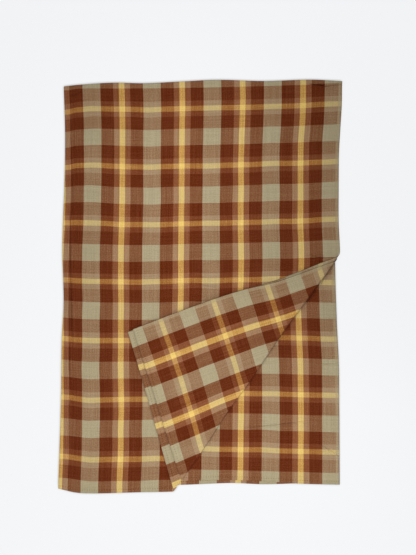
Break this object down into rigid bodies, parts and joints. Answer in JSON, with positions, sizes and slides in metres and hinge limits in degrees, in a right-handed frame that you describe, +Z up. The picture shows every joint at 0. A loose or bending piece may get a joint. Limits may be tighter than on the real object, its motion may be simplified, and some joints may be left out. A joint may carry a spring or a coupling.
{
  "type": "folded tablecloth",
  "caption": "Woven plaid cotton tablecloth folded in four and lying flat, with one corner of its two upper layers turned back.",
  "frame": {"origin": "centre of the folded cloth's bounding box, on the surface it lies on", "axes": "+Z up off the surface, +Y along the cloth towards its crosswise fold, +X from its lengthwise fold towards its selvages"},
  "size_m": [0.7064, 1.0312, 0.0149],
  "materials": {
    "cloth": "matt plain-woven cotton in a brown, sage and yellow plaid"
  },
  "bodies": {
    "root": {"tablecloth": "cloth"}
  },
  "joints": []
}
